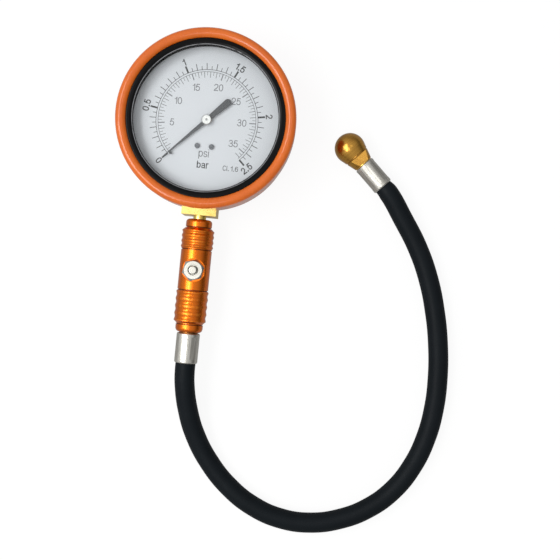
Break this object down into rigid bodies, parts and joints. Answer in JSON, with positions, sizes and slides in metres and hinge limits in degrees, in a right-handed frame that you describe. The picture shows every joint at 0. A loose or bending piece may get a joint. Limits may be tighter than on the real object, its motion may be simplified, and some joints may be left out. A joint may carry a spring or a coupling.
{
  "type": "tyre pressure gauge",
  "caption": "Dial gauge in a rubber boot on a ribbed handle with a push-button bleed valve, a crimped rubber hose and a ball chuck for tyre valves.",
  "frame": {"origin": "on the pointer's axis, in the plane of the boot's back face, which the gauge lies on", "axes": "+Z out of the dial, +Y from the stem and handle towards the top of the dial, +X to the right of the dial"},
  "size_m": [0.2279, 0.3151, 0.0449],
  "materials": {
    "orange_rubber": "glossy moulded rubber",
    "black_steel": "black paint",
    "black_gloss": "gloss black paint",
    "black_rubber": "soft black rubber",
    "clear_glass": "clear",
    "steel": "plain turned steel",
    "white_dial": "matt white paint with a printed scale",
    "dark_paint": "matt dark paint",
    "bright_metal": "bright drawn metal",
    "brass": "plain machined brass",
    "bronze": "drawn bronze",
    "pale_brass": "milled brass",
    "ball_brass": "turned brass",
    "fibre": "pressed fibre",
    "orange_anodised": "bright orange anodised",
    "nickel": "nickel plated",
    "hose_rubber": "smooth black rubber"
  },
  "bodies": {
    "gauge": {"rubber_boot": "orange_rubber", "case": "black_steel", "bezel_ring": "black_gloss", "window_gasket": "black_rubber", "window_glass": "clear_glass", "blow_out_plug": "black_rubber", "case_screws": "steel", "dial_plate": "white_dial", "dial_screws": "dark_paint", "dial_standoffs": "brass", "zero_stop_pin": "dark_paint", "hairspring": "steel", "hairspring_stud": "brass", "movement_back_plate": "brass", "movement_front_plate": "brass", "movement_pillars": "brass", "movement_screws": "steel", "bourdon_tube": "bronze", "socket_block": "pale_brass", "stem_washer": "fibre", "handle_body": "orange_anodised", "bleed_valve_body": "nickel", "bleed_spring": "steel", "handle_hose_fitting": "brass", "handle_fitting_washer": "fibre", "handle_ferrule": "bright_metal", "hose": "hose_rubber", "chuck_ferrule": "bright_metal", "chuck_hose_fitting": "brass", "ball_chuck": "ball_brass", "chuck_seal": "black_rubber", "valve_depressor": "brass"},
    "pointer": {"pointer": "dark_paint", "pointer_hub": "bright_metal", "pinion_arbor": "steel"},
    "sector": {"sector_gear": "brass", "sector_arbor": "steel", "link_shoulder_screw": "steel"},
    "link": {"link_bar": "brass"},
    "tip": {"tube_tip": "brass", "link_tip_pin": "steel"},
    "button": {"bleed_button": "nickel", "bleed_seal": "black_rubber", "bleed_retainer": "steel"}
  },
  "joints": [
    {"name": "pointer_sweep", "type": "hinge", "parent": "gauge", "child": "pointer", "pos_m": [0, 0, 0.0348], "axis": [0, 0, -1], "range_deg": [0, 270], "stiffness_Nm_per_rad": 0.00001, "deforming": ["hairspring"]},
    {"name": "sector_swing", "type": "hinge", "parent": "gauge", "child": "sector", "pos_m": [0.01597, -0.01118, 0.0171], "axis": [0, 0, -1], "range_deg": [-22.5, 0]},
    {"name": "link_turn", "type": "hinge", "parent": "sector", "child": "link", "pos_m": [0.01887, -0.01971, 0.0181], "axis": [0, 0, -1], "range_deg": [0, 22.5]},
    {"name": "tip_slide", "type": "slide", "parent": "gauge", "child": "tip", "axis": [0.866, 0.5, 0], "range_m": [0, 0.00351], "stiffness_N_per_m": 300, "deforming": ["bourdon_tube"]},
    {"name": "bleed_press", "type": "slide", "parent": "gauge", "child": "button", "axis": [0, 0, -1], "range_m": [0, 0.0016], "stiffness_N_per_m": 1500, "deforming": ["bleed_spring"]}
  ],
  "couplings": [
    {"joint": "pointer_sweep", "follows": "tip_slide", "rad_per_m": 1341.9},
    {"joint": "sector_swing", "follows": "tip_slide", "rad_per_m": -111.83},
    {"joint": "link_turn", "follows": "tip_slide", "rad_per_m": 111.83}
  ]
}
